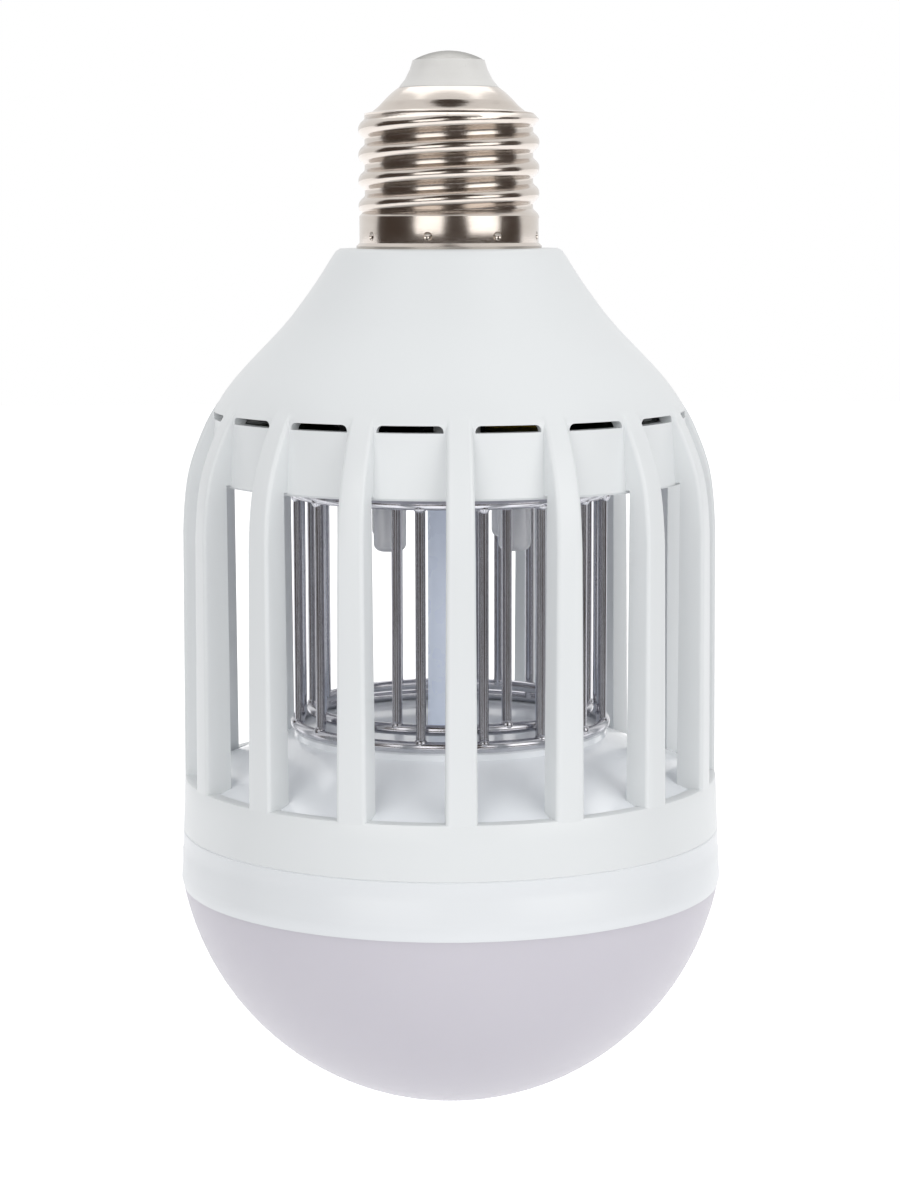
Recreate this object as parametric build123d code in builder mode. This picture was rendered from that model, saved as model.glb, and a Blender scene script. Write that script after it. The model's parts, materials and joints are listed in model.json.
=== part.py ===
from build123d import *
import os
from math import asin, cos, degrees, hypot, radians, sin

# Insect killer lamp bulb. Sizes are in millimetres and +Z points up. The lamp is
# modelled as it hangs, with the screw cap at the top. The origin is on the axis,
# in the flat top of the housing, where the skirt of the screw cap stands. One rib
# points to -Y. Heights ending in _z are measured from the origin.

# Screw cap, E26 size
crest_r = 13.0
thread_depth = 0.9
thread_pitch = 3.629
crest_z = 7.85  # height of a thread crest on the +X side
skirt_h = 4.6
shoulder_z = 18.9
insulator_h = 3.95
contact_rise = 1.35
shell_wall = 0.45
dimple_count = 8
dimple_turn = 29.4
dimple_z = 1.75
dimple_tool_r = 0.75

# Housing
body_r = 38.9
top_r = 16.3
shoulder_h = 40.4
wall = 2.0
rib_count = 16
rib_depth = 3.6
rib_width = 4.4  # at the lower band
rib_draft = 0.39  # degrees each side, narrower towards the top
rib_edge_r = 0.6
collar_h = 9.05
collar_wall = 2.1
vent_gap = 1.0
lip_step = 0.23397  # the outline stands this far outside the lip over the vents
vent_corner_r = 0.8
window_h = 53.23
band_h = 7.85
neck_bore_r = 9.6
neck_h = 4.2

# Holder cup and the boards in it
rim_drop = 0.3  # rim of the cup under the lower edge of the vents
cup_recess = 0.2
cup_wall = 1.6
board_t = 1.6
board_drop = 0.45  # top of the driver board under the rim of the cup
boss_r = 3.2
post_r = 3.6
spigot_r = 2.2
screw_r = 1.3
screw_head_r = 2.5
screw_head_h = 1.6
uv_board_t = 1.2
uv_pad_h = 1.0

# Small lamps, round 5 mm bodies
uv_lamp_r = 2.33
uv_lamp_h = 7.7
uv_edge_r = 1.1
uv_stub_h = 2.1
leg_r = 0.3
leg_pitch = 2.54

# Electric grid
grid_wires = 16
wire_r = 0.725
ring_rod_r = 0.8
grid_step = 2.3  # between the radii of the two cages
outer_turn = 9.77
inner_turn = -1.48
long_wires = 4  # wires of each cage that run on into the holder
socket_depth = 1.2
top_ring_drop = 1.84
inner_lift = 2.0

# Centre tube and tray
tube_r = 3.25
tube_wall = 0.8
plinth_step = 1.1
plinth_rise = 6.7  # top of the plinth over the top of the lower band
tray_t = 1.6

# Lamp at the bottom
ring_h = 8.15
ring_wall = 2.0
spigot_h = 2.35
snap = 0.4
dome_h = 32.7
dome_wall = 1.5
plate_t = 1.2
chip_t = 0.8

# Leads
lead_r = 0.5
lamp_lead_r = 0.6
lamp_lead_x = 1.2

# Clearances
cap_fit = 0.1
cup_fit = 0.15
bore_fit = 0.15
tube_fit = 0.1
hole_fit = 0.1
socket_fit = 0.05

# Shoulder of the lamp from the top edge down, as (drop, spread) fractions of
# shoulder_h and of the spread from top_r to body_r.
shoulder_shape = [
    (0.035, 0.033),
    (0.109, 0.117),
    (0.183, 0.211),
    (0.257, 0.314),
    (0.332, 0.439),
    (0.406, 0.567),
    (0.490, 0.696),
    (0.569, 0.794),
    (0.678, 0.890),
    (0.777, 0.951),
    (0.876, 0.981),
    (1.000, 0.996),
]
shoulder = [
    (top_r + spread * (body_r - top_r), -drop * shoulder_h)
    for drop, spread in shoulder_shape
]
cone = shoulder[:7]  # the part above the vents, without ribs


def height_at(outline, radius):
    """Height where an outline of (r, z) points that runs outwards reaches a radius."""
    for (r0, z0), (r1, z1) in zip(outline, outline[1:]):
        if radius <= r1:
            break
    return z0 + (z1 - z0) * (radius - r0) / (r1 - r0)


# Heights worked out from the sizes above
rib_inner_r = body_r - rib_depth
collar_r = rib_inner_r - 0.7
lip_r = collar_r - 0.5
vent_top_z = height_at(shoulder, lip_r + lip_step)
vent_base_z = vent_top_z - vent_gap
collar_z = vent_base_z - collar_h
cup_rim_z = vent_base_z - rim_drop
cup_z = collar_z + cup_recess
plate_z = cup_z + cup_wall
board_top_z = cup_rim_z - board_drop
board_z = board_top_z - board_t
uv_board_z = plate_z + uv_pad_h
uv_board_top_z = uv_board_z + uv_board_t
band_top_z = vent_top_z - window_h
seam_z = band_top_z - band_h
ring_z = seam_z - ring_h
dome_z = ring_z - dome_h
plinth_z = band_top_z + plinth_rise
tray_rim_z = band_top_z - bore_fit
spigot_z = seam_z + spigot_h
bead_z = seam_z + 0.45 * spigot_h
flange_z = seam_z - 2.55
heat_z = flange_z - plate_t
lamp_board_z = heat_z - board_t
dome_bead_z = ring_z + 2.3
shell_top_z = shoulder_z + 3.8
insulator_z = shell_top_z + insulator_h
tip_z = insulator_z + contact_rise
top_ring_z = cup_z - top_ring_drop
outer_ring_z = plinth_z + ring_rod_r
inner_ring_z = outer_ring_z + inner_lift
uv_lamp_z = cup_z - uv_stub_h

# Radii worked out from the sizes above
root_r = crest_r - thread_depth
skirt_r = crest_r - 0.1
rim_r = crest_r + 0.35
skirt_bore_r = skirt_r - shell_wall
neck_r = skirt_bore_r - cap_fit
cap_hole_r = 0.52 * crest_r
insulator_r = 0.55 * crest_r
contact_r = 0.39 * crest_r
shank_r = 1.5
collar_bore_r = collar_r - collar_wall
cup_r = collar_bore_r - cup_fit
cup_bore_r = cup_r - cup_wall
board_r = cup_bore_r - 0.5
boss_circle_r = cup_r - 6.1
outer_grid_r = cup_r - 9.95
inner_grid_r = outer_grid_r - grid_step
outer_ring_r = outer_grid_r + 0.3
inner_ring_r = inner_grid_r + 0.2
uv_circle_r = inner_grid_r - 7.5
uv_board_r = uv_circle_r + 3.7
plinth_r = outer_grid_r + 0.6
band_r = body_r + 0.15
seam_r = body_r + 0.45
ring_lip_r = body_r + 0.85
dome_rim_r = body_r + 0.59
band_bore_r = body_r - 1.7
tray_r = band_bore_r - bore_fit
ring_bore_r = seam_r - ring_wall + 0.1
heat_r = ring_bore_r - bore_fit
lamp_board_r = heat_r - 2.7
plate_screw_r = lamp_board_r - 2.6
dome_r = (dome_rim_r**2 + dome_h**2) / (2 * dome_h)
dome_centre_z = dome_z + dome_r

# Places on the driver board, as fractions of its radius
choke_at = (-0.40 * board_r, -0.24 * board_r)
capacitor_at = (-0.30 * board_r, 0.30 * board_r)
transformer_at = (0.33 * board_r, -0.27 * board_r)
film_at = [(0.34 * board_r, 0.22 * board_r), (0.34 * board_r, 0.40 * board_r)]
fuse_at = (0, -0.55 * board_r)
contact_lead_at = (0, 0.19 * board_r)
shell_lead_at = (0, -0.22 * board_r)
transformer_legs = [(x, y) for x in (-5, 5) for y in (-4.2, 4.2)]
pair_legs = [(-2.5, 0), (2.5, 0)]
link_pins_at = [(x, 0.28 * board_r) for x in (-2.54, 0, 2.54)]

# The high-voltage leads come down on the top rings between two wires
outer_lead_angle = outer_turn + 33.75
inner_lead_angle = inner_turn + 123.75


def polar(radius, angle):
    """Point on a circle around the axis, with the angle in degrees from +X."""
    return (radius * cos(radians(angle)), radius * sin(radians(angle)))


outer_lead_at = polar(outer_ring_r, outer_lead_angle)
inner_lead_at = polar(inner_ring_r, inner_lead_angle)


def inset(points, distance):
    """Shift an outline of (r, z) points that runs downwards in by a wall thickness."""
    moved = []
    for i, (r, z) in enumerate(points):
        before = points[max(i - 1, 0)]
        after = points[min(i + 1, len(points) - 1)]
        dr, dz = after[0] - before[0], after[1] - before[1]
        length = hypot(dr, dz)
        moved.append((r + distance * dz / length, z - distance * dr / length))
    return moved


def turn(points, mode=Mode.ADD):
    """Revolve a closed outline of (r, z) points in the part that is open."""
    with BuildSketch(Plane.XZ) as outline:
        with BuildLine():
            Polyline(*points, close=True)
        make_face()
    revolve(outline.sketch, axis=Axis.Z, mode=mode)


def pillars(radius, places, low_z, high_z, mode=Mode.ADD):
    """Put round pillars, or holes, from low_z to high_z at places in the open part."""
    with BuildSketch(Plane.XY.offset(low_z)) as rounds:
        with Locations(*places):
            Circle(radius)
    extrude(rounds.sketch, amount=high_z - low_z, mode=mode)


def blocks(width, depth, places, low_z, high_z, mode=Mode.ADD):
    """Put square-cornered blocks from low_z to high_z at places in the open part."""
    with BuildSketch(Plane.XY.offset(low_z)) as squares:
        with Locations(*places):
            Rectangle(width, depth)
    extrude(squares.sketch, amount=high_z - low_z, mode=mode)


def shifted(places, centre):
    """Move a list of places so that it is laid out around a centre."""
    return [(x + centre[0], y + centre[1]) for x, y in places]


def tray_z(radius):
    """Height of the sloping top of the tray at a radius."""
    slope = (tray_rim_z - (plinth_z - plinth_step)) / (tray_r - plinth_r)
    return plinth_z - plinth_step + slope * (radius - plinth_r)


boss_places = [polar(boss_circle_r, 90 * i) for i in range(4)]
uv_places = [polar(uv_circle_r, 45 + 90 * i) for i in range(4)]
uv_leg_places = [
    (x + side * leg_pitch / 2, y) for x, y in uv_places for side in (-1, 1)
]
socket_step = 360 / long_wires
outer_socket_places = [
    polar(outer_grid_r, outer_turn + socket_step * i) for i in range(long_wires)
]
inner_socket_places = [
    polar(inner_grid_r, inner_turn + socket_step * i) for i in range(long_wires)
]
plate_screw_places = [polar(plate_screw_r, 45 + 90 * i) for i in range(4)]
lamp_lead_places = [(-lamp_lead_x, 0), (lamp_lead_x, 0)]
component_leg_places = (
    shifted(transformer_legs, transformer_at)
    + shifted(pair_legs, capacitor_at)
    + shifted(pair_legs, choke_at)
    + shifted(pair_legs, fuse_at)
    + shifted(pair_legs, film_at[0])
    + shifted(pair_legs, film_at[1])
)

# Outline of the screw shell without its thread
cap_shoulder = [
    (0.845 * crest_r, shoulder_z + 0.5),
    (0.770 * crest_r, shoulder_z + 1.3),
    (0.710 * crest_r, shoulder_z + 2.15),
    (0.635 * crest_r, shoulder_z + 3.1),
    (0.565 * crest_r, shell_top_z),
]
cap_core = [
    (0, 0),
    (rim_r, 0),
    (rim_r, 0.35),
    (skirt_r, 0.8),
    (skirt_r, skirt_h),
    (root_r, skirt_h + 0.9),
    (root_r, shoulder_z + 0.25),
    *cap_shoulder,
    (0, shell_top_z),
]
cap_bore_top = inset(list(reversed(cap_shoulder)), shell_wall)
cap_bore = [
    (0, 0),
    (skirt_bore_r, 0),
    (skirt_bore_r, skirt_h - 0.1),
    (root_r - shell_wall, skirt_h + 0.8),
    (root_r - shell_wall, shoulder_z),
    *reversed(cap_bore_top[1:]),
    (cap_hole_r, shell_top_z - shell_wall),
    (cap_hole_r, shell_top_z),
    (0, shell_top_z),
]
dimple_centre_r = skirt_r + 0.35

# One knuckle ridge, wound on the root of the thread. Its lower end is cut off level
# with the top of the skirt and its upper end slopes with the shoulder.
ridge_foot = 0.48 * thread_pitch
ridge_start_z = crest_z - 2 * thread_pitch
with BuildPart() as thread:
    with BuildLine() as thread_path:
        Helix(
            pitch=thread_pitch,
            height=shoulder_z + 1.9 - ridge_start_z,
            radius=root_r,
            center=(0, 0, ridge_start_z),
        )
    start = thread_path.line @ 0
    ridge_plane = Plane(start, x_dir=(1, 0, 0), z_dir=thread_path.line % 0)
    with BuildSketch(ridge_plane) as ridge:
        with BuildLine():
            ThreePointArc(
                (0.30 * thread_depth, -0.65 * ridge_foot),
                (thread_depth, 0),
                (0.30 * thread_depth, 0.65 * ridge_foot),
            )
            Polyline(
                (0.30 * thread_depth, 0.65 * ridge_foot),
                (-0.25, ridge_foot),
                (-0.25, -ridge_foot),
                (0.30 * thread_depth, -0.65 * ridge_foot),
            )
        make_face()
    sweep(ridge.sketch, path=thread_path.line, is_frenet=True)
    turn(
        [
            (0, skirt_h - 0.3),
            (crest_r + 2, skirt_h - 0.3),
            (crest_r + 2, shoulder_z - 2.7),
            (root_r + 0.1, shoulder_z + 0.2),
            (0, shoulder_z + 0.2),
        ],
        mode=Mode.INTERSECT,
    )

# The metal that each staking dimple pushes in, kept inside the wall of the skirt
with BuildPart() as dimple_backs:
    with Locations((0, 0, dimple_z)):
        with PolarLocations(dimple_centre_r, dimple_count, start_angle=dimple_turn):
            Sphere(dimple_tool_r + shell_wall - 0.05)
        Cylinder(skirt_r - 0.2, 6, mode=Mode.INTERSECT)

with BuildPart() as screw_shell:
    turn(cap_core)
    add(thread.part)
    turn(cap_bore, mode=Mode.SUBTRACT)
    add(dimple_backs.part)
    with Locations((0, 0, dimple_z)):
        with PolarLocations(dimple_centre_r, dimple_count, start_angle=dimple_turn):
            Sphere(dimple_tool_r, mode=Mode.SUBTRACT)

# The insulator is moulded through the hole in the shell and grips it on both sides
with BuildPart() as cap_insulator:
    turn(
        [
            (shank_r, insulator_z),
            (contact_r + 0.1, insulator_z),
            (contact_r + 0.5, insulator_z - 1.3),
            (contact_r + 1.2, insulator_z - 2.7),
            (insulator_r, shell_top_z + 0.15),
            (insulator_r, shell_top_z),
            (cap_hole_r, shell_top_z),
            (cap_hole_r, shell_top_z - shell_wall),
            (0.606 * crest_r, shell_top_z - 1.2),
            (0.652 * crest_r, shell_top_z - 1.8),
            (0.652 * crest_r, shell_top_z - 2.8),
            (shank_r, shell_top_z - 2.8),
        ]
    )

shank_z = shell_top_z - 4.7
with BuildPart() as centre_contact:
    with BuildSketch(Plane.XZ) as rivet:
        with BuildLine():
            cap_r = (contact_r**2 + contact_rise**2) / (2 * contact_rise)
            ThreePointArc(
                (0, tip_z),
                (cap_r * sin(0.25), tip_z - cap_r * (1 - cos(0.25))),
                (contact_r, insulator_z),
            )
            Polyline(
                (contact_r, insulator_z),
                (shank_r, insulator_z),
                (shank_r, shank_z),
                (0, shank_z),
                (0, tip_z),
            )
        make_face()
    revolve(axis=Axis.Z)
    pillars(lead_r, [(0, 0)], shank_z, shank_z + 2.5, mode=Mode.SUBTRACT)

# Bosses that hang from the shoulder and stand on the driver board, trimmed to lie
# inside the wall of the cone
cone_core = inset(shoulder, wall / 2)
with BuildPart() as bosses:
    pillars(boss_r, boss_places, board_top_z, -wall)
    pillars(spigot_r, boss_places, board_z + 0.2, board_top_z)
    turn(
        [
            (0, -wall / 2),
            *cone_core,
            (body_r, -shoulder_h - 5),
            (0, -shoulder_h - 5),
        ],
        mode=Mode.INTERSECT,
    )
    pillars(
        screw_r,
        boss_places,
        board_z,
        board_top_z + 6.1,
        mode=Mode.SUBTRACT,
    )

# One rib, wider outside than inside for the draft of the mould. Its foot stands on
# the slope of the tray and its top grows out of the cone.
rib_taper = 0.2
rib_top = inset(shoulder, 0.5)[6]
with BuildPart() as rib:
    with BuildSketch(Plane.XY.offset(band_top_z - 1)):
        with BuildLine():
            Polyline(
                (-rib_width / 2, -(body_r + 1)),
                (rib_width / 2, -(body_r + 1)),
                (rib_width / 2 - rib_taper / 2, -(collar_r - 5)),
                (-rib_width / 2 + rib_taper / 2, -(collar_r - 5)),
                close=True,
            )
        make_face()
    extrude(amount=window_h + 7, taper=rib_draft)
    with BuildSketch(Plane.XZ) as rib_side:
        with BuildLine():
            Spline(rib_top, *shoulder[7:])
            Polyline(
                shoulder[-1],
                (band_r - 0.02, band_top_z),
                (band_r - 0.02, band_top_z - 1),
                (band_bore_r + 0.6, band_top_z - 1),
                (band_bore_r + 0.6, tray_z(band_bore_r + 0.6)),
                (rib_inner_r, tray_z(rib_inner_r)),
                (rib_inner_r, collar_z + 0.5),
                (collar_r - 1, collar_z + 0.5),
                (collar_r - 1, vent_top_z),
                inset(shoulder, wall * 0.6)[6],
                rib_top,
            )
        make_face()
    revolve(axis=Axis.Z, mode=Mode.INTERSECT)
    front = rib.edges().filter_by(lambda e: e.bounding_box().min.Y < -(body_r - 1))
    fillet(front.filter_by(lambda e: e.length > 15), radius=rib_edge_r)

# Cutter for one vent, a slot with rounded upper corners that ends just short of the
# ribs
vent_w = 2 * collar_r * sin(radians(180 / rib_count)) - rib_width
with BuildPart() as vent:
    with BuildSketch(Plane.YZ.offset(collar_r - 4)) as slot:
        with Locations((0, vent_top_z - vent_gap / 2)):
            Rectangle(vent_w, vent_gap)
        fillet(slot.vertices().group_by(Axis.Y)[-1], radius=vent_corner_r)
    extrude(amount=8)

# Neck inside the skirt of the cap, with a pocket under each staking dimple
with BuildPart() as neck:
    turn(
        [
            (neck_bore_r, -wall / 2),
            (neck_r, -wall / 2),
            (neck_r, neck_h - 0.5),
            (neck_r - 0.5, neck_h),
            (neck_bore_r, neck_h),
        ]
    )
    with Locations((0, 0, dimple_z)):
        with PolarLocations(dimple_centre_r, dimple_count, start_angle=dimple_turn):
            Sphere(dimple_tool_r + shell_wall, mode=Mode.SUBTRACT)

# The cage is one moulding: cone, collar under the vents, ribs and lower band
cone_inside = inset([*cone, (lip_r, vent_top_z)], wall)
with BuildPart() as cage_housing:
    with BuildSketch(Plane.XZ) as cone_wall:
        with BuildLine():
            Polyline((neck_bore_r, 0), (top_r - 0.6, 0), (top_r, -0.35), cone[0])
            Spline(*cone, (lip_r, vent_top_z))
            Polyline(
                (lip_r, vent_top_z),
                (lip_r, vent_base_z - 0.5),
                (collar_r, collar_z + 0.3),
                (collar_r - 0.3, collar_z),
                (collar_bore_r, collar_z),
                (collar_bore_r, vent_base_z - 1),
                cone_inside[-1],
            )
            Spline(*reversed(cone_inside))
            Polyline(
                cone_inside[0],
                (cone_inside[0][0], -wall),
                (neck_bore_r, -wall),
                (neck_bore_r, 0),
            )
        make_face()
    revolve(axis=Axis.Z)
    with PolarLocations(0, rib_count, start_angle=180 / rib_count):
        add(vent.part, mode=Mode.SUBTRACT)
    with PolarLocations(0, rib_count):
        add(rib.part)
    add(bosses.part)
    add(neck.part)
    # Lower band with the groove for the snap bead of the lamp ring
    turn(
        [
            (band_bore_r, band_top_z),
            (band_r - 0.4, band_top_z),
            (band_r - 0.12, band_top_z - 0.12),
            (band_r, band_top_z - 0.4),
            (seam_r, seam_z + 0.15),
            (seam_r - 0.15, seam_z),
            (band_bore_r, seam_z),
            (band_bore_r, bead_z - 0.7),
            (band_bore_r + snap, bead_z - 0.25),
            (band_bore_r + snap, bead_z + 0.25),
            (band_bore_r, bead_z + 0.7),
        ]
    )

# Holder cup inside the collar, with the posts for the board, the stubs of the small lamps and the
# sockets of the long grid wires
with BuildPart() as grid_holder:
    turn(
        [
            (0, cup_z),
            (cup_r - 0.3, cup_z),
            (cup_r, cup_z + 0.3),
            (cup_r, cup_rim_z),
            (cup_bore_r, cup_rim_z),
            (cup_bore_r, plate_z),
            (0, plate_z),
        ]
    )
    pillars(post_r, boss_places, plate_z, board_z)
    pillars(1.8, [polar(uv_board_r - 2, 90 * i) for i in range(4)], plate_z, uv_board_z)
    pillars(uv_lamp_r + 0.4, uv_places, uv_lamp_z, cup_z)
    head_z = cup_z + screw_head_h + 0.2
    pillars(screw_head_r + 0.2, boss_places, cup_z, head_z, mode=Mode.SUBTRACT)
    pillars(screw_r + hole_fit, boss_places, head_z, board_z, mode=Mode.SUBTRACT)
    pillars(leg_r + 0.05, uv_leg_places, uv_lamp_z, plate_z, mode=Mode.SUBTRACT)
    pillars(tube_r + tube_fit, [(0, 0)], cup_z, plate_z - 0.4, mode=Mode.SUBTRACT)
    pillars(tube_r - tube_wall, [(0, 0)], cup_z, plate_z, mode=Mode.SUBTRACT)
    pillars(
        wire_r + socket_fit,
        outer_socket_places + inner_socket_places,
        cup_z,
        cup_z + socket_depth,
        mode=Mode.SUBTRACT,
    )
    pillars(
        lead_r + hole_fit,
        [outer_lead_at, inner_lead_at],
        cup_z,
        plate_z,
        mode=Mode.SUBTRACT,
    )

with BuildPart() as holder_screws:
    pillars(screw_head_r, boss_places, head_z - screw_head_h, head_z)
    pillars(screw_r, boss_places, head_z, board_top_z + 5.6)

# Driver board and the parts of the supply
with BuildPart() as driver_board:
    pillars(board_r, [(0, 0)], board_z, board_top_z)
    pillars(spigot_r + hole_fit, boss_places, board_z, board_top_z, Mode.SUBTRACT)
    pillars(
        0.4,
        component_leg_places + link_pins_at,
        board_z,
        board_top_z,
        mode=Mode.SUBTRACT,
    )
    pillars(
        lead_r,
        [outer_lead_at, inner_lead_at, contact_lead_at, shell_lead_at],
        board_z,
        board_top_z,
        mode=Mode.SUBTRACT,
    )
    pillars(lamp_lead_r, lamp_lead_places, board_z, board_top_z, mode=Mode.SUBTRACT)

with BuildPart() as component_legs:
    pillars(0.4, component_leg_places, board_z - 0.8, board_top_z)

can_r = 5
can_h = 16
with BuildPart() as bulk_capacitor:
    with Locations((*capacitor_at, board_top_z)):
        Cylinder(can_r, can_h, align=(Align.CENTER, Align.CENTER, Align.MIN))
    fillet(bulk_capacitor.edges().sort_by(Axis.Z)[-1], radius=0.6)

core_w = 14
core_d = 6
core_h = 11
coil_h = 7
with BuildPart() as transformer_core:
    blocks(core_w, core_d, [transformer_at], board_top_z + 0.6, board_top_z + core_h)
    window_places = shifted([(-3.9, 0), (3.9, 0)], transformer_at)
    coil_z = board_top_z + (core_h + 0.6 - coil_h) / 2
    blocks(3.4, core_d, window_places, coil_z, coil_z + coil_h, Mode.SUBTRACT)

with BuildPart() as transformer_coil:
    blocks(11.2, 11, [transformer_at], coil_z, coil_z + coil_h)
    fillet(transformer_coil.edges().filter_by(Axis.Z), radius=2)
    side_places = shifted([(-5.65, 0), (5.65, 0)], transformer_at)
    blocks(0.1, core_d, side_places, coil_z, coil_z + coil_h, Mode.SUBTRACT)
    blocks(4.4, core_d, [transformer_at], coil_z, coil_z + coil_h, Mode.SUBTRACT)
    foot_places = shifted([(0, -4.2), (0, 4.2)], transformer_at)
    blocks(11, 2.2, foot_places, board_top_z, coil_z)

with BuildPart() as film_capacitors:
    blocks(11, 4.4, film_at, board_top_z, board_top_z + 9)
    fillet(film_capacitors.edges().filter_by(Axis.Z), radius=0.8)

with BuildPart() as line_choke:
    with Locations((*choke_at, board_top_z)):
        Cylinder(4, 9, align=(Align.CENTER, Align.CENTER, Align.MIN))
        with Locations((0, 0, 1.4)):
            Cylinder(4, 6.2, align=(Align.CENTER, Align.CENTER, Align.MIN), mode=Mode.SUBTRACT)
            Cylinder(3.5, 6.2, align=(Align.CENTER, Align.CENTER, Align.MIN))

with BuildPart() as line_fuse:
    blocks(8.4, 4.2, [fuse_at], board_top_z, board_top_z + 8)

diode_places = [(-0.62 * board_r, 0.10 * board_r + 4.2 * i) for i in range(4)]
with BuildPart() as multiplier_diodes:
    blocks(4.6, 2.8, diode_places, board_top_z, board_top_z + 2.2)

with BuildPart() as driver_chips:
    blocks(4.9, 3.9, [(0.62 * board_r, 0.02 * board_r)], board_top_z, board_top_z + 1.6)
    blocks(4.7, 3.9, [(-0.45 * board_r, -0.62 * board_r)], board_top_z, board_top_z + 2.5)

# Board of the small lamps, on four pads in the cup
with BuildPart() as uv_board:
    pillars(uv_board_r, [(0, 0)], uv_board_z, uv_board_top_z)
    pillars(tube_r + 1, [(0, 0)], uv_board_z, uv_board_top_z, mode=Mode.SUBTRACT)
    pillars(leg_r, uv_leg_places, uv_board_z, uv_board_top_z, mode=Mode.SUBTRACT)
    pillars(0.4, link_pins_at, uv_board_z, uv_board_top_z, mode=Mode.SUBTRACT)

with BuildPart() as link_pins:
    pillars(0.4, link_pins_at, uv_board_z - 0.4, board_top_z + 0.6)

leg_bite = 1.0
with BuildPart() as uv_legs:
    pillars(leg_r, uv_leg_places, uv_lamp_z - leg_bite, uv_board_top_z + 0.5)

with BuildPart() as uv_lamps:
    pillars(uv_lamp_r, uv_places, uv_lamp_z - uv_lamp_h, uv_lamp_z)
    fillet(uv_lamps.edges().group_by(Axis.Z)[0], radius=uv_edge_r)
    pillars(uv_lamp_r + 0.4, uv_places, uv_lamp_z - 1, uv_lamp_z)
    pillars(leg_r, uv_leg_places, uv_lamp_z - leg_bite, uv_lamp_z, mode=Mode.SUBTRACT)

# Two welded cages of wire, one inside the other and half a pitch apart
cage_places = [
    (outer_grid_r, outer_turn, outer_ring_r, outer_ring_z),
    (inner_grid_r, inner_turn, inner_ring_r, inner_ring_z),
]
cages = []
for grid_r, turn_angle, ring_r, low_z in cage_places:
    with BuildPart() as cage:
        wires = [polar(grid_r, turn_angle + 360 / grid_wires * i) for i in range(grid_wires)]
        pillars(wire_r, wires, low_z, top_ring_z)
        pillars(wire_r, wires[:: grid_wires // long_wires], top_ring_z, cup_z + socket_depth)
        for height in (low_z, top_ring_z):
            with Locations((0, 0, height)):
                Torus(ring_r, ring_rod_r)
    cages.append(cage)
outer_grid, inner_grid = cages

with BuildPart() as grid_leads:
    pillars(
        lead_r,
        [outer_lead_at, inner_lead_at],
        top_ring_z + ring_rod_r,
        board_top_z + 0.6,
    )

tube_foot_z = plinth_z - 2.0
with BuildPart() as centre_tube:
    pillars(tube_r, [(0, 0)], tube_foot_z, plate_z - 0.4)
    pillars(tube_r - tube_wall, [(0, 0)], tube_foot_z, plate_z - 0.4, Mode.SUBTRACT)

with BuildPart() as lamp_leads:
    pillars(lamp_lead_r, lamp_lead_places, lamp_board_z - 0.6, board_top_z + 0.7)

with BuildPart() as contact_lead:
    with BuildLine() as lead_path:
        x, y = contact_lead_at
        FilletPolyline(
            (x, y, board_z - 0.4),
            (x, y, -10),
            (0, 0, 2),
            (0, 0, shank_z + 2.5),
            radius=4,
        )
    with BuildSketch(Plane.XY.offset(board_z - 0.4)):
        with Locations(contact_lead_at):
            Circle(lead_r)
    sweep(path=lead_path.line)

with BuildPart() as shell_lead:
    with BuildLine() as lead_path:
        x, y = shell_lead_at
        FilletPolyline(
            (x, y, board_z - 0.4),
            (x, y, neck_h + 2.2),
            (x, -(root_r - shell_wall - 0.02), neck_h + 2.2),
            radius=1.5,
        )
    with BuildSketch(Plane.XY.offset(board_z - 0.4)):
        with Locations(shell_lead_at):
            Circle(lead_r)
    sweep(path=lead_path.line)

# Tray: a round plinth under the outer cage, a glossy slope and a skirt that stands
# on the spigot of the lamp ring
with BuildPart() as grid_tray:
    turn(
        [
            (0, plinth_z),
            (plinth_r - 0.3, plinth_z),
            (plinth_r, plinth_z - 0.3),
            (plinth_r, plinth_z - plinth_step),
            (tray_r, tray_rim_z),
            (tray_r, spigot_z),
            (tray_r - tray_t, spigot_z),
            (tray_r - tray_t, tray_rim_z - 1.1),
            (plinth_r - 0.6, plinth_z - plinth_step - tray_t),
            (plinth_r - 1.8, plinth_z - tray_t),
            (tube_r + 2.2, plinth_z - tray_t),
            (tube_r + 2.0, plinth_z - 3.6),
            (0, plinth_z - 3.6),
        ]
    )
    pillars(tube_r + tube_fit, [(0, 0)], tube_foot_z, plinth_z, mode=Mode.SUBTRACT)
    pillars(
        tube_r - tube_wall, [(0, 0)], plinth_z - 3.6, plinth_z, mode=Mode.SUBTRACT
    )

# Lamp ring with two fine steps outside, a snap bead that clips into the lower
# band and a flange inside for the heat plate
with BuildPart() as lamp_ring:
    turn(
        [
            (tray_r - 1.75, spigot_z),
            (tray_r, spigot_z),
            (tray_r, bead_z + 0.6),
            (tray_r + snap, bead_z + 0.2),
            (tray_r + snap, bead_z - 0.2),
            (tray_r, bead_z - 0.6),
            (tray_r, seam_z),
            (seam_r - 0.15, seam_z),
            (seam_r, seam_z - 0.15),
            (seam_r + 0.05, seam_z - 2.85),
            (seam_r + 0.17, seam_z - 3.1),
            (seam_r + 0.22, ring_z + 2.6),
            (ring_lip_r - 0.1, ring_z + 2.3),
            (ring_lip_r, ring_z + 1.0),
            (dome_rim_r, ring_z),
            (ring_bore_r, ring_z),
            (ring_bore_r, dome_bead_z - 0.6),
            (ring_bore_r + snap, dome_bead_z - 0.2),
            (ring_bore_r + snap, dome_bead_z + 0.2),
            (ring_bore_r, dome_bead_z + 0.6),
            (ring_bore_r, flange_z),
            (plate_screw_r - 3.6, flange_z),
            (plate_screw_r - 3.6, flange_z + 1.8),
            (tray_r - 1.75, flange_z + 1.8),
        ]
    )
    pillars(2.8, plate_screw_places, flange_z, flange_z + 5.8)
    pillars(screw_r, plate_screw_places, flange_z, flange_z + 5.0, mode=Mode.SUBTRACT)

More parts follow.
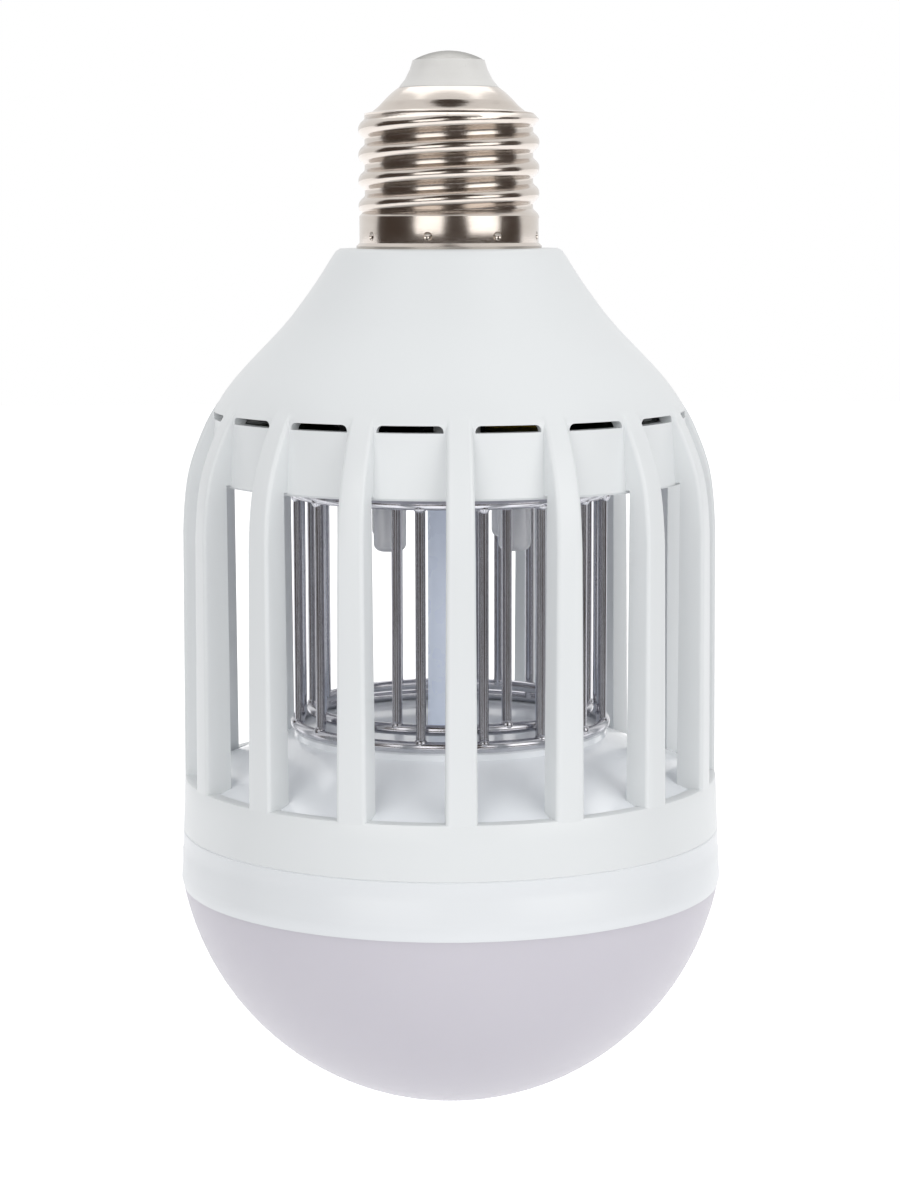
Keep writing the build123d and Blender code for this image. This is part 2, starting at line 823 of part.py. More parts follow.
with BuildPart() as heat_plate:
    pillars(heat_r, [(0, 0)], heat_z, flange_z)
    pillars(4, [(0, 0)], heat_z, flange_z, mode=Mode.SUBTRACT)
    pillars(screw_r + hole_fit, plate_screw_places, heat_z, flange_z, Mode.SUBTRACT)

with BuildPart() as lamp_board:
    pillars(lamp_board_r, [(0, 0)], lamp_board_z, heat_z)
    pillars(lamp_lead_r, lamp_lead_places, lamp_board_z, heat_z, mode=Mode.SUBTRACT)
    pillars(screw_r + hole_fit, plate_screw_places, lamp_board_z, heat_z, Mode.SUBTRACT)

with BuildPart() as lamp_chips:
    with BuildSketch(Plane.XY.offset(lamp_board_z - chip_t)):
        with PolarLocations(0.70 * lamp_board_r, 12):
            Rectangle(2.8, 3.5)
        with PolarLocations(0.36 * lamp_board_r, 6):
            Rectangle(2.8, 3.5)
    extrude(amount=chip_t)

with BuildPart() as plate_screws:
    pillars(2.3, plate_screw_places, lamp_board_z - 1.4, lamp_board_z)
    pillars(screw_r, plate_screw_places, lamp_board_z, flange_z + 4.5)

# Frosted diffuser, a thin round shell with a neck that snaps into the lamp ring
with BuildPart() as diffuser:
    inner_r = dome_r - dome_wall
    inner_z = ring_z - dome_wall
    with BuildSketch(Plane.XZ):
        with BuildLine():
            outer_reach = degrees(asin((ring_z - dome_centre_z) / dome_r))
            inner_reach = degrees(asin((inner_z - dome_centre_z) / inner_r))
            outer_arc = CenterArc((0, dome_centre_z), dome_r, -90, 90 + outer_reach)
            inner_arc = CenterArc((0, dome_centre_z), inner_r, -90, 90 + inner_reach)
            Polyline(
                outer_arc @ 1,
                (heat_r, ring_z),
                (heat_r, dome_bead_z - 0.5),
                (heat_r + snap, dome_bead_z - 0.15),
                (heat_r + snap, dome_bead_z + 0.15),
                (heat_r, dome_bead_z + 0.5),
                (heat_r, heat_z),
                (heat_r - dome_wall, heat_z),
                (heat_r - dome_wall, inner_z),
                inner_arc @ 1,
            )
            Line(inner_arc @ 0, outer_arc @ 0)
        make_face()
    revolve(axis=Axis.Z)

pieces = {
    "screw_shell": screw_shell,
    "cap_insulator": cap_insulator,
    "centre_contact": centre_contact,
    "cage_housing": cage_housing,
    "grid_holder": grid_holder,
    "holder_screws": holder_screws,
    "driver_board": driver_board,
    "component_legs": component_legs,
    "bulk_capacitor": bulk_capacitor,
    "transformer_core": transformer_core,
    "transformer_coil": transformer_coil,
    "film_capacitors": film_capacitors,
    "line_choke": line_choke,
    "line_fuse": line_fuse,
    "multiplier_diodes": multiplier_diodes,
    "driver_chips": driver_chips,
    "uv_board": uv_board,
    "link_pins": link_pins,
    "uv_legs": uv_legs,
    "uv_lamps": uv_lamps,
    "outer_grid": outer_grid,
    "inner_grid": inner_grid,
    "grid_leads": grid_leads,
    "centre_tube": centre_tube,
    "lamp_leads": lamp_leads,
    "contact_lead": contact_lead,
    "shell_lead": shell_lead,
    "grid_tray": grid_tray,
    "lamp_ring": lamp_ring,
    "heat_plate": heat_plate,
    "lamp_board": lamp_board,
    "lamp_chips": lamp_chips,
    "plate_screws": plate_screws,
    "diffuser": diffuser,
}
os.makedirs("parts", exist_ok=True)
for name, piece in pieces.items():
    piece.part.label = name
    export_step(piece.part, f"parts/{name}.step")
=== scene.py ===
import json
import math
import bmesh
import bpy
from mathutils import Matrix, Vector


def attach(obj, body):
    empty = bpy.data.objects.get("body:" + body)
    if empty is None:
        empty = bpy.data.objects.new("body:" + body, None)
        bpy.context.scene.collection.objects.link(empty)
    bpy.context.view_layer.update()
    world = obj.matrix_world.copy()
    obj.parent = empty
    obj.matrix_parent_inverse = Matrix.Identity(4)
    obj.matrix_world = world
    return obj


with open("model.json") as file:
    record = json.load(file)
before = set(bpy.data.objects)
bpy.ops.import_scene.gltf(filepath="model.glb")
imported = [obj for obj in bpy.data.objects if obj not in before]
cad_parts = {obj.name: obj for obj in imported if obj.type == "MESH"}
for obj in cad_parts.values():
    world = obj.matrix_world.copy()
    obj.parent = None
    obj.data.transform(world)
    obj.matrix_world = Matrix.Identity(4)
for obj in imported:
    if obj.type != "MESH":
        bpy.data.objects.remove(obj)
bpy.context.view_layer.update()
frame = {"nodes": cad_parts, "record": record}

# Sizes of the lamp that the added pieces share with the model, in metres
MM = 0.001
OUTER_GRID_R = 22.4 * MM
OUTER_RING_R = 22.7 * MM
INNER_GRID_R = 20.1 * MM
INNER_RING_R = 20.3 * MM
OUTER_TURN = math.radians(9.77)
INNER_TURN = math.radians(-1.48)
TOP_RING_Z = -34.86 * MM
OUTER_RING_Z = -68.9 * MM
INNER_RING_Z = -66.9 * MM
GRID_WIRES = 16
THREAD_PITCH = 3.629 * MM
CREST_Z = 7.85 * MM
SKIRT_TOP_Z = 4.6 * MM
THREAD_BASE_Z = SKIRT_TOP_Z + 0.9 * MM
THREAD_TOP_Z = 18.9 * MM
SHOULDER_HALF = 1.9 * MM
SHOULDER_MID_Z = THREAD_TOP_Z + SHOULDER_HALF


# Shader values
class Value:
    """A shader value. Arithmetic with it adds the Math nodes that work it out."""

    def __init__(self, finish, socket):
        self.finish = finish
        self.socket = socket

    def maths(self, operation, *others):
        """A Math node on this value and any others, in their order."""
        inputs = {0: self}
        inputs.update({i + 1: other for i, other in enumerate(others)})
        return self.finish.node("ShaderNodeMath", {"operation": operation}, inputs)

    def __add__(self, other):
        return self.maths("ADD", other)

    def __sub__(self, other):
        return self.maths("SUBTRACT", other)

    def __rsub__(self, other):
        settings = {"operation": "SUBTRACT"}
        return self.finish.node("ShaderNodeMath", settings, {0: other, 1: self})

    def __mul__(self, other):
        return self.maths("MULTIPLY", other)

    def __truediv__(self, other):
        return self.maths("DIVIDE", other)

    def __pow__(self, other):
        return self.maths("POWER", other)


class Finish:
    """A material, written out node by node around one Principled shader."""

    def __init__(self, name, **constants):
        self.material = bpy.data.materials.new(name)
        self.material.use_nodes = True
        self.tree = self.material.node_tree
        self.tree.nodes.clear()
        self.relief = None
        output = self.tree.nodes.new("ShaderNodeOutputMaterial")
        self.shader = self.tree.nodes.new("ShaderNodeBsdfPrincipled")
        self.tree.links.new(self.shader.outputs[0], output.inputs[0])
        for socket, value in constants.items():
            self.shader.inputs[socket.replace("_", " ")].default_value = value

    def node(self, kind, settings=None, inputs=None, output=0):
        """Add a node: its settings first, then the values or links of its sockets."""
        made = self.tree.nodes.new(kind)
        for key, value in (settings or {}).items():
            setattr(made, key, value)
        for key, value in (inputs or {}).items():
            if isinstance(value, Value):
                self.tree.links.new(value.socket, made.inputs[key])
            else:
                made.inputs[key].default_value = value
        return Value(self, made.outputs[output])

    def feed(self, socket, value):
        """Drive one of the shader's own sockets."""
        self.tree.links.new(value.socket, self.shader.inputs[socket])

    def place(self):
        """Where a point is on the lamp, in metres."""
        return self.node("ShaderNodeTexCoord", output=3)

    def part_of_place(self, axis):
        """One coordinate of that place: 0, 1 or 2 for X, Y or Z."""
        split = self.node("ShaderNodeSeparateXYZ", inputs={0: self.place()})
        return Value(self, split.socket.node.outputs[axis])

    def noise(self, scale, detail=3.0, roughness=0.5, stretch=(1, 1, 1)):
        """Soft random values around 0.5. Scale is in spots per metre."""
        where = self.node(
            "ShaderNodeMapping", {"vector_type": "POINT"}, {0: self.place(), 3: stretch}
        )
        return self.node(
            "ShaderNodeTexNoise",
            {"noise_dimensions": "3D"},
            {"Vector": where, "Scale": scale, "Detail": detail, "Roughness": roughness},
        )

    def between(self, value, low, high):
        """Spread a value of 0 to 1 between two numbers."""
        return self.node(
            "ShaderNodeMapRange",
            {"clamp": True},
            {"Value": value, "To Min": low, "To Max": high},
        )

    def blend(self, factor, first, second):
        """Mix two colours."""
        made = self.tree.nodes.new("ShaderNodeMix")
        made.data_type = "RGBA"
        for socket, value in ((0, factor), (6, first), (7, second)):
            if isinstance(value, Value):
                self.tree.links.new(value.socket, made.inputs[socket])
            else:
                made.inputs[socket].default_value = value
        return Value(self, made.outputs[2])

    def bump(self, height, distance, strength=1.0):
        """Raise the surface by a height of 0 to 1 times a distance in metres."""
        inputs = {"Strength": strength, "Distance": distance, "Height": height}
        if self.relief:
            inputs["Normal"] = self.relief
        self.relief = self.node("ShaderNodeBump", inputs=inputs)
        self.feed("Normal", self.relief)


def rgb(red, green, blue):
    """A colour from the 0 to 255 numbers of a screen."""
    def linear(level):
        level /= 255
        return level / 12.92 if level <= 0.04045 else ((level + 0.055) / 1.055) ** 2.4
    return (linear(red), linear(green), linear(blue), 1)


# Finishes
def moulded_white(name, light, shade, roughness, grain):
    """White moulded plastic with a faint drift in its tone and a fine skin."""
    plastic = Finish(name, IOR=1.47)
    drift = plastic.noise(45, detail=2)
    plastic.feed("Base Color", plastic.blend(drift, shade, light))
    cloud = plastic.noise(240, detail=4)
    plastic.feed("Roughness", plastic.between(cloud, roughness - 0.05, roughness + 0.07))
    skin = plastic.noise(2600, detail=3, roughness=0.6)
    plastic.bump(skin, grain, 0.5)
    return plastic.material


def plated_metal(name, light, shade, roughness, smear, stretch, edge=1.0):
    """Bright plated metal with faint smears drawn out along its making."""
    metal = Finish(name, Metallic=1.0, Specular_Tint=(edge, edge, edge, 1))
    drift = metal.noise(160, detail=3, stretch=stretch)
    metal.feed("Base Color", metal.blend(drift, shade, light))
    streaks = metal.noise(900, detail=5, roughness=0.6, stretch=stretch)
    metal.feed("Roughness", metal.between(streaks, roughness * 0.6, roughness * 1.6))
    pits = metal.noise(700, detail=4, roughness=0.6, stretch=stretch)
    metal.bump(pits, smear, 0.6)
    return metal.material


def cap_nickel():
    """Nickel of the screw shell. Its relief rounds the thread, the skirt and the shoulder."""
    nickel = Finish("cap nickel", Metallic=1.0)
    around = (1, 1, 5)
    drift = nickel.noise(160, detail=3, stretch=around)
    nickel.feed("Base Color", nickel.blend(drift, rgb(200, 191, 182), rgb(212, 204, 197)))
    streaks = nickel.noise(900, detail=5, roughness=0.6, stretch=around)
    nickel.feed("Roughness", nickel.between(streaks, 0.14, 0.27))
    x, y, z = (nickel.part_of_place(axis) for axis in range(3))
    turns = (z - CREST_Z) / THREAD_PITCH - y.maths("ARCTAN2", x) / math.tau
    wave = (turns * math.tau).maths("COSINE") * 0.5 + 0.5
    above_skirt = z.maths("GREATER_THAN", THREAD_BASE_Z)
    under_shoulder = z.maths("LESS_THAN", THREAD_TOP_Z)
    nickel.bump(wave * above_skirt * under_shoulder, 0.3 * MM)
    half = SKIRT_TOP_Z / 2
    belly = 1 - ((z - half) / half) ** 2
    nickel.bump(belly * z.maths("LESS_THAN", SKIRT_TOP_Z), 0.22 * MM)
    rise = (z - SHOULDER_MID_Z) / SHOULDER_HALF
    fall = rise.maths("MINIMUM", 0).maths("ABSOLUTE") ** 1.3
    nickel.bump((1 - fall) * z.maths("GREATER_THAN", THREAD_TOP_Z), 0.9 * MM)
    pits = nickel.noise(700, detail=4, roughness=0.6, stretch=around)
    nickel.bump(pits, 0.00001, 0.6)
    return nickel.material


def coated(name, light, shade, roughness, scale=300, metallic=0.0):
    """A plain finish of an inner part, with a slight mottle."""
    coat = Finish(name, Metallic=metallic)
    mottle = coat.noise(scale, detail=3)
    coat.feed("Base Color", coat.blend(mottle, shade, light))
    coat.feed("Roughness", coat.between(mottle, roughness - 0.06, roughness + 0.08))
    coat.bump(coat.noise(scale * 6, detail=2), 0.00003, 0.4)
    return coat.material


def frosted_diffuser():
    """Frosted plastic that lets some light into itself."""
    frost = Finish(
        "diffuser frost",
        IOR=1.46,
        Subsurface_Weight=0.25,
        Subsurface_Radius=(0.006, 0.006, 0.007),
        Subsurface_Scale=1.0,
    )
    drift = frost.noise(30, detail=2)
    frost.feed("Base Color", frost.blend(drift, rgb(203, 200, 210), rgb(211, 208, 217)))
    frost.feed("Roughness", frost.between(frost.noise(400, detail=4), 0.34, 0.46))
    frost.bump(frost.noise(5200, detail=2), 0.00002, 0.5)
    return frost.material


def milky_tube():
    """Thin pale sleeve. A faint glow, stronger low down, stands for the light through it."""
    sleeve = Finish("tube plastic", IOR=1.4, Emission_Strength=1.0)
    drift = sleeve.noise(60, detail=2)
    sleeve.feed("Base Color", sleeve.blend(drift, rgb(216, 223, 238), rgb(224, 231, 245)))
    sleeve.feed("Roughness", sleeve.between(sleeve.noise(300, detail=3), 0.22, 0.34))
    height = sleeve.between(sleeve.part_of_place(2) / -0.08, 0.25, 1.0)
    sleeve.feed("Emission Color", sleeve.blend(height, rgb(0, 0, 0), rgb(108, 115, 124)))
    sleeve.bump(sleeve.noise(2600, detail=3), 0.00001, 0.5)
    return sleeve.material


def hazy_epoxy():
    """Hazy resin of the small lamps."""
    epoxy = Finish("lamp epoxy", IOR=1.42, Transmission_Weight=0.5)
    haze = epoxy.noise(500, detail=3)
    epoxy.feed("Base Color", epoxy.blend(haze, rgb(238, 239, 242), rgb(248, 249, 251)))
    epoxy.feed("Roughness", epoxy.between(haze, 0.22, 0.4))
    return epoxy.material


FINISHES = {
    "housing_plastic": moulded_white(
        "housing plastic", rgb(229, 232, 233), rgb(225, 228, 229), 0.34, 0.00002
    ),
    "holder_plastic": moulded_white(
        "holder plastic", rgb(229, 229, 236), rgb(224, 224, 231), 0.30, 0.00002
    ),
    "tray_plastic": moulded_white(
        "tray plastic", rgb(249, 252, 255), rgb(245, 249, 253), 0.11, 0.000005
    ),
    "ring_plastic": moulded_white(
        "ring plastic", rgb(231, 234, 236), rgb(226, 229, 232), 0.32, 0.00002
    ),
    "tube_plastic": milky_tube(),
    "insulator": moulded_white(
        "cap insulator", rgb(223, 222, 219), rgb(216, 215, 212), 0.28, 0.00001
    ),
    "diffuser_plastic": frosted_diffuser(),
    "uv_epoxy": hazy_epoxy(),
    "cap_metal": cap_nickel(),
    "contact_metal": plated_metal(
        "contact nickel",
        rgb(182, 181, 178),
        rgb(172, 171, 168),
        0.38,
        0.00002,
        (1, 1, 1),
        edge=0.6,
    ),
    "grid_wire": plated_metal(
        "grid wire", rgb(208, 208, 213), rgb(184, 184, 190), 0.2, 0.000004, (1, 1, 0.1)
    ),
    "heat_aluminium": plated_metal(
        "heat plate", rgb(226, 226, 226), rgb(206, 206, 208), 0.35, 0.00002, (1, 1, 1)
    ),
    "screw_steel": plated_metal(
        "screw zinc", rgb(206, 206, 208), rgb(180, 180, 184), 0.30, 0.00003, (1, 1, 1)
    ),
    "tinned_wire": plated_metal(
        "tinned wire", rgb(214, 214, 214), rgb(190, 190, 190), 0.30, 0.00003, (1, 1, 1)
    ),
    "board_green": coated("board green", rgb(24, 58, 44), rgb(14, 40, 30), 0.35),
    "board_white": coated("board white", rgb(236, 236, 232), rgb(228, 228, 224), 0.45),
    "capacitor_sleeve": coated("capacitor sleeve", rgb(30, 30, 36), rgb(18, 18, 22), 0.3),
    "ferrite": coated("ferrite", rgb(62, 60, 60), rgb(44, 43, 43), 0.6),
    "coil_tape": coated("coil tape", rgb(222, 190, 66), rgb(206, 172, 50), 0.3),
    "film_red": coated("film dip", rgb(142, 44, 32), rgb(120, 32, 24), 0.25),
    "choke_sleeve": coated("choke sleeve", rgb(34, 34, 34), rgb(20, 20, 20), 0.3),
    "fuse_case": coated("fuse case", rgb(52, 50, 48), rgb(38, 37, 36), 0.5),
    "chip_black": coated("chip black", rgb(40, 40, 42), rgb(28, 28, 30), 0.5),
    "chip_yellow": coated("chip phosphor", rgb(236, 214, 110), rgb(226, 200, 90), 0.35),
    "lead_red": coated("red insulation", rgb(170, 36, 30), rgb(150, 28, 24), 0.4),
    "lead_white": coated("white insulation", rgb(232, 232, 230), rgb(220, 220, 218), 0.4),
    "lead_black": coated("black insulation", rgb(36, 36, 36), rgb(24, 24, 24), 0.4),
}


def smoothing_tree():
    """Joins a node's loose triangles and shades them smooth, with sharp edges kept."""
    tree = bpy.data.node_groups.new("smooth with sharp edges", "GeometryNodeTree")
    tree.interface.new_socket("Geometry", in_out="INPUT", socket_type="NodeSocketGeometry")
    angle = tree.interface.new_socket(
        "Sharp Angle", in_out="INPUT", socket_type="NodeSocketFloat"
    )
    angle.default_value = math.radians(32)
    tree.interface.new_socket("Geometry", in_out="OUTPUT", socket_type="NodeSocketGeometry")
    start = tree.nodes.new("NodeGroupInput")
    end = tree.nodes.new("NodeGroupOutput")
    join = tree.nodes.new("GeometryNodeMergeByDistance")
    join.inputs["Distance"].default_value = 0.000002
    smooth = tree.nodes.new("GeometryNodeSetShadeSmooth")
    sharpen = tree.nodes.new("GeometryNodeSetShadeSmooth")
    sharpen.domain = "EDGE"
    sharpen.inputs["Shade Smooth"].default_value = False
    corner = tree.nodes.new("GeometryNodeInputMeshEdgeAngle")
    over = tree.nodes.new("FunctionNodeCompare")
    over.operation = "GREATER_THAN"
    links = tree.links
    links.new(start.outputs[0], join.inputs["Geometry"])
    links.new(join.outputs[0], smooth.inputs["Geometry"])
    links.new(smooth.outputs[0], sharpen.inputs["Geometry"])
    links.new(corner.outputs[0], over.inputs[0])
    links.new(start.outputs[1], over.inputs[1])
    links.new(over.outputs[0], sharpen.inputs["Selection"])
    links.new(sharpen.outputs[0], end.inputs[0])
    return tree


def finish_nodes():
    """Give every node of the model its finish and a smooth surface."""
    tree = smoothing_tree()
    for part in frame["record"]["subparts"]:
        node = frame["nodes"][part["node"]]
        node.data.materials.clear()
        node.data.materials.append(FINISHES[part["material_slot"]])
        node.modifiers.new("smooth", "NODES").node_group = tree


# Added pieces
def nugget_tree():
    """A ring of small weld nuggets, one at the foot of each wire."""
    tree = bpy.data.node_groups.new("weld nuggets", "GeometryNodeTree")
    sockets = {}
    for name, kind in (
        ("Count", "NodeSocketInt"),
        ("Radius", "NodeSocketFloat"),
        ("Height", "NodeSocketFloat"),
        ("Turn", "NodeSocketFloat"),
        ("Nugget Size", "NodeSocketFloat"),
        ("Seed", "NodeSocketInt"),
        ("Finish", "NodeSocketMaterial"),
    ):
        made = tree.interface.new_socket(name, in_out="INPUT", socket_type=kind)
        sockets[name] = made.identifier
    tree.interface.new_socket("Geometry", in_out="OUTPUT", socket_type="NodeSocketGeometry")
    start = tree.nodes.new("NodeGroupInput")
    end = tree.nodes.new("NodeGroupOutput")
    circle = tree.nodes.new("GeometryNodeMeshCircle")
    turn = tree.nodes.new("GeometryNodeTransform")
    lift = tree.nodes.new("ShaderNodeCombineXYZ")
    spin = tree.nodes.new("ShaderNodeCombineXYZ")
    nugget = tree.nodes.new("GeometryNodeMeshIcoSphere")
    nugget.inputs["Subdivisions"].default_value = 3
    vary = tree.nodes.new("FunctionNodeRandomValue")
    vary.data_type = "FLOAT_VECTOR"
    vary.inputs[0].default_value = (0.85, 0.85, 0.75)
    vary.inputs[1].default_value = (1.15, 1.15, 1.25)
    put = tree.nodes.new("GeometryNodeInstanceOnPoints")
    real = tree.nodes.new("GeometryNodeRealizeInstances")
    smooth = tree.nodes.new("GeometryNodeSetShadeSmooth")
    paint = tree.nodes.new("GeometryNodeSetMaterial")
    links = tree.links
    links.new(start.outputs["Count"], circle.inputs["Vertices"])
    links.new(start.outputs["Radius"], circle.inputs["Radius"])
    links.new(circle.outputs[0], turn.inputs["Geometry"])
    links.new(start.outputs["Height"], lift.inputs["Z"])
    links.new(lift.outputs[0], turn.inputs["Translation"])
    links.new(start.outputs["Turn"], spin.inputs["Z"])
    links.new(spin.outputs[0], turn.inputs["Rotation"])
    links.new(start.outputs["Nugget Size"], nugget.inputs["Radius"])
    links.new(start.outputs["Seed"], vary.inputs["Seed"])
    links.new(turn.outputs[0], put.inputs["Points"])
    links.new(nugget.outputs[0], put.inputs["Instance"])
    links.new(vary.outputs[0], put.inputs["Scale"])
    links.new(put.outputs[0], real.inputs[0])
    links.new(real.outputs[0], smooth.inputs["Geometry"])
    links.new(smooth.outputs[0], paint.inputs["Geometry"])
    links.new(start.outputs["Finish"], paint.inputs["Material"])
    links.new(paint.outputs[0], end.inputs[0])
    return tree, sockets


def grown(name, tree, values):
    """The mesh that a tree makes with these inputs, as a plain mesh."""
    seed = bpy.data.objects.new(name, bpy.data.meshes.new(name))
    bpy.context.scene.collection.objects.link(seed)
    grower = seed.modifiers.new("grow", "NODES")
    grower.node_group = tree
    for identifier, value in values.items():
        grower[identifier] = value
    bpy.context.view_layer.update()
    seen = seed.evaluated_get(bpy.context.evaluated_depsgraph_get())
    mesh = bpy.data.meshes.new_from_object(seen)
    bpy.data.objects.remove(seed)
    return mesh


def piece(name, meshes, slot):
    """One finished piece of the lamp from one or more meshes."""
    shape = bmesh.new()
    for mesh in meshes:
        shape.from_mesh(mesh)
    joined = bpy.data.meshes.new(name)
    shape.to_mesh(joined)
    shape.free()
    joined.materials.append(FINISHES[slot])
    for face in joined.polygons:
        face.use_smooth = True
        face.material_index = 0
    made = bpy.data.objects.new(name, joined)
    bpy.context.scene.collection.objects.link(made)
    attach(made, "root")
    return made


def weld_nuggets():
    """Nuggets where the wires of both cages are welded to their rings."""
    tree, sockets = nugget_tree()
    places = [
        (OUTER_GRID_R + 0.2 * MM, OUTER_RING_Z + 0.5 * MM, OUTER_TURN, 1),
        (OUTER_GRID_R + 0.2 * MM, TOP_RING_Z - 0.5 * MM, OUTER_TURN, 2),
        (INNER_GRID_R + 0.1 * MM, INNER_RING_Z + 0.5 * MM, INNER_TURN, 3),
        (INNER_GRID_R + 0.1 * MM, TOP_RING_Z - 0.5 * MM, INNER_TURN, 4),
    ]
    rings = []
    for radius, height, turn, seed in places:
        values = {
            sockets["Count"]: GRID_WIRES,
            sockets["Radius"]: radius,
            sockets["Height"]: height,
            sockets["Turn"]: turn,
            sockets["Nugget Size"]: 0.88 * MM,
            sockets["Seed"]: seed,
            sockets["Finish"]: FINISHES["grid_wire"],
        }
        rings.append(grown(f"nuggets {seed}", tree, values))
    return piece("weld_nuggets", rings, "grid_wire")


# Studio
CAMERA_TURN = math.radians(2.23)
CAMERA_AWAY = 409.3 * MM
CAMERA_Z = 4.6 * MM
CAMERA_TILT = math.radians(7.76)
CAMERA_ROLL = math.radians(-0.15)
FLOOR_Z = -0.42
FLOOR_WIDTH = 12
ROOM_R = 1.3
ROOM_TOP_Z = 1.0
GABLE_H = 7.0
GABLE_HALF_ANGLE = 0.9


def photo_camera():
    """The camera that took the photograph, worked out from the rims of the lamp."""
    lens = bpy.data.cameras.new("photo camera")
    lens.lens = 84.54
    lens.sensor_width = 36
    lens.clip_start = 0.01
    lens.clip_end = 50
    camera = bpy.data.objects.new("photo camera", lens)
    camera.location = (
        -CAMERA_AWAY * math.sin(CAMERA_TURN),
        -CAMERA_AWAY * math.cos(CAMERA_TURN),
        CAMERA_Z,
    )
    look = (
        Matrix.Rotation(-CAMERA_TURN, 4, "Z")
        @ Matrix.Rotation(math.pi / 2 - CAMERA_TILT, 4, "X")
        @ Matrix.Rotation(CAMERA_ROLL, 4, "Z")
    )
    camera.rotation_euler = look.to_euler()
    bpy.context.scene.collection.objects.link(camera)
    bpy.context.scene.camera = camera


def softbox(name, azimuth, elevation, distance, width, height, watts, colour):
    """A square studio lamp that faces the object. Azimuth 0 is the camera's side."""
    lamp = bpy.data.lights.new(name, "AREA")
    lamp.shape = "RECTANGLE"
    lamp.size = width
    lamp.size_y = height
    lamp.energy = watts
    lamp.color = colour
    holder = bpy.data.objects.new(name, lamp)
    a = math.radians(azimuth) - CAMERA_TURN
    e = math.radians(elevation)
    out = Vector((math.sin(a) * math.cos(e), -math.cos(a) * math.cos(e), math.sin(e)))
    middle = Vector((0, 0, -0.05))
    holder.location = middle + out * distance
    holder.rotation_euler = (-out).to_track_quat("-Z", "Y").to_euler()
    bpy.context.scene.collection.objects.link(holder)


def looked_at(tree):
    """A socket of 1 for camera, reflected and refracted rays and 0 for all others."""
    path = tree.nodes.new("ShaderNodeLightPath")
    either = tree.nodes.new("ShaderNodeMath")
    either.operation = "MAXIMUM"
    any_of = tree.nodes.new("ShaderNodeMath")
    any_of.operation = "MAXIMUM"
    tree.links.new(path.outputs["Is Camera Ray"], either.inputs[0])
    tree.links.new(path.outputs["Is Glossy Ray"], either.inputs[1])
    tree.links.new(either.outputs[0], any_of.inputs[0])
    tree.links.new(path.outputs["Is Transmission Ray"], any_of.inputs[1])
    return any_of.outputs[0]


def white_surround():
    """The world: white to the camera and in reflections, softer as a lamp."""
    world = bpy.data.worlds.new("studio")
    bpy.context.scene.world = world
    world.use_nodes = True
    tree = world.node_tree
    tree.nodes.clear()
    out = tree.nodes.new("ShaderNodeOutputWorld")
    seen = tree.nodes.new("ShaderNodeBackground")
    seen.inputs["Color"].default_value = (1, 1, 1, 1)
    seen.inputs["Strength"].default_value = 1.0
    glow = tree.nodes.new("ShaderNodeBackground")
    glow.inputs["Color"].default_value = (0.99, 0.99, 1.0, 1)
    glow.inputs["Strength"].default_value = 0.66
    mix = tree.nodes.new("ShaderNodeMixShader")
    tree.links.new(looked_at(tree), mix.inputs[0])
    tree.links.new(glow.outputs[0], mix.inputs[1])
    tree.links.new(seen.outputs[0], mix.inputs[2])
    tree.links.new(mix.outputs[0], out.inputs[0])


def stage_piece(name, corners, faces, material):
    """A plain surface of the studio, which is no part of the lamp."""
    mesh = bpy.data.meshes.new(name)
    mesh.from_pydata(corners, [], faces)
    mesh.materials.append(material)
    made = bpy.data.objects.new(name, mesh)
    bpy.context.scene.collection.objects.link(made)
    return made


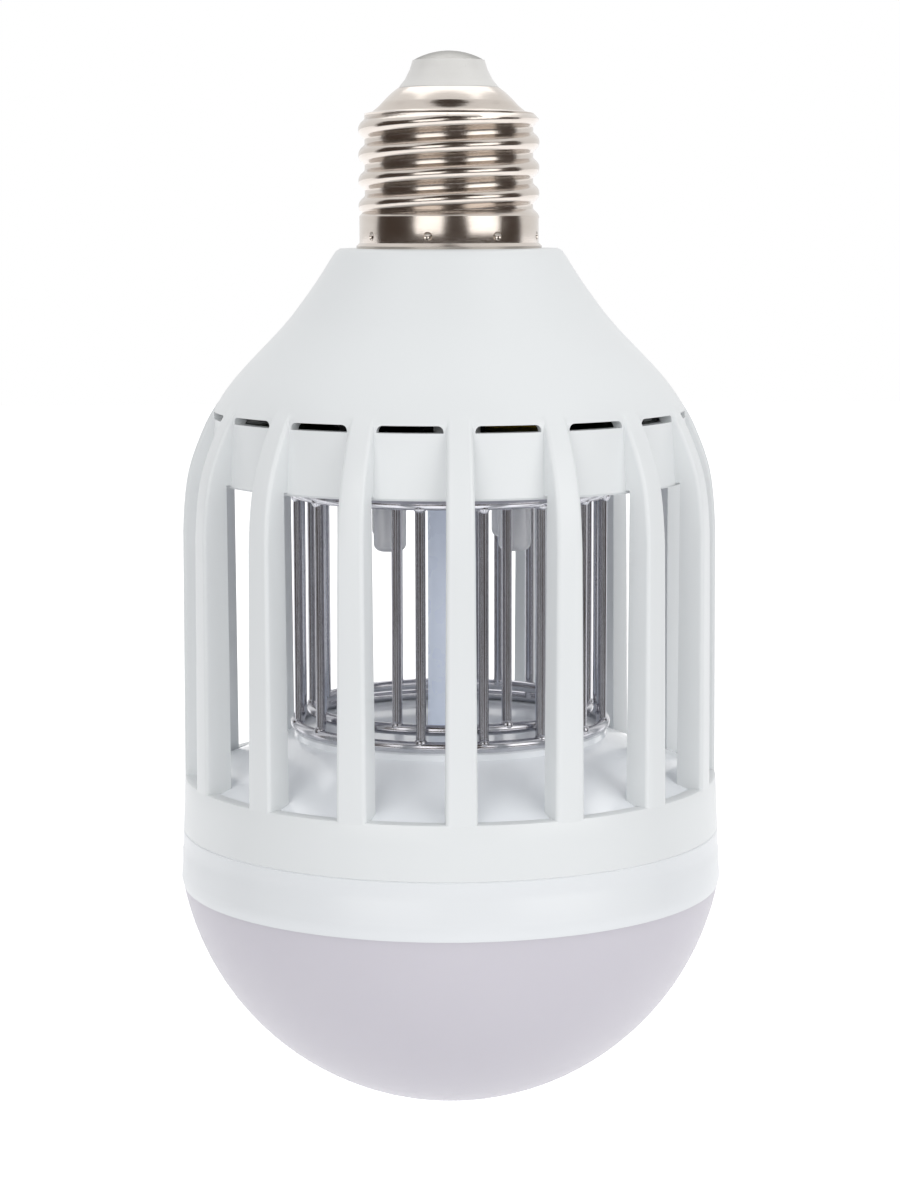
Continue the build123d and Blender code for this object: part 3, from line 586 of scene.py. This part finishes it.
def floor():
    """A pale floor well under the hanging lamp, white where it is lit."""
    pale = bpy.data.materials.new("pale floor")
    pale.use_nodes = True
    tree = pale.node_tree
    tree.nodes.clear()
    out = tree.nodes.new("ShaderNodeOutputMaterial")
    lit = tree.nodes.new("ShaderNodeBsdfDiffuse")
    lit.inputs["Color"].default_value = (0.85, 0.85, 0.86, 1)
    glow = tree.nodes.new("ShaderNodeEmission")
    glow.inputs["Strength"].default_value = 0.8
    dark = tree.nodes.new("ShaderNodeEmission")
    dark.inputs["Strength"].default_value = 0.0
    pick = tree.nodes.new("ShaderNodeMixShader")
    total = tree.nodes.new("ShaderNodeAddShader")
    tree.links.new(looked_at(tree), pick.inputs[0])
    tree.links.new(dark.outputs[0], pick.inputs[1])
    tree.links.new(glow.outputs[0], pick.inputs[2])
    tree.links.new(lit.outputs[0], total.inputs[0])
    tree.links.new(pick.outputs[0], total.inputs[1])
    tree.links.new(total.outputs[0], out.inputs[0])
    half = FLOOR_WIDTH / 2
    corners = [(x * half, y * half, FLOOR_Z) for x, y in ((-1, -1), (1, -1), (1, 1), (-1, 1))]
    stage_piece("floor", corners, [(0, 1, 2, 3)], pale)


def dark_room():
    """The unlit room behind the camera, which gives the bright metal its dark bands."""
    cloth = bpy.data.materials.new("dark room")
    cloth.use_nodes = True
    tree = cloth.node_tree
    tree.nodes.clear()
    out = tree.nodes.new("ShaderNodeOutputMaterial")
    dull = tree.nodes.new("ShaderNodeBsdfDiffuse")
    dull.inputs["Color"].default_value = rgb(84, 72, 64)
    tree.links.new(dull.outputs[0], out.inputs[0])
    corners = []
    faces = []
    steps = 24
    for i in range(steps + 1):
        a = math.radians(-105 + 210 * i / steps) - CAMERA_TURN
        x, y = ROOM_R * math.sin(a), -ROOM_R * math.cos(a)
        gable = GABLE_H * max(0, 1 - abs(a) / GABLE_HALF_ANGLE)
        corners += [(x, y, FLOOR_Z), (x, y, ROOM_TOP_Z + gable)]
        if i:
            faces.append((2 * i - 2, 2 * i, 2 * i + 1, 2 * i - 1))
    room = stage_piece("dark room", corners, faces, cloth)
    room.visible_diffuse = False
    room.visible_camera = False


photo_camera()
white_surround()
floor()
dark_room()
softbox("left softbox", -26, 17, 0.95, 0.62, 0.55, 2.1, (1.0, 0.995, 0.985))
softbox("right softbox", 46, 17, 0.95, 0.72, 0.55, 2.6, (1.0, 0.995, 0.985))
softbox("top softbox", 180, 62, 1.0, 0.9, 0.7, 2.0, (1.0, 1.0, 1.0))
finish_nodes()
weld_nuggets()

bpy.context.scene.view_settings.view_transform = "Standard"
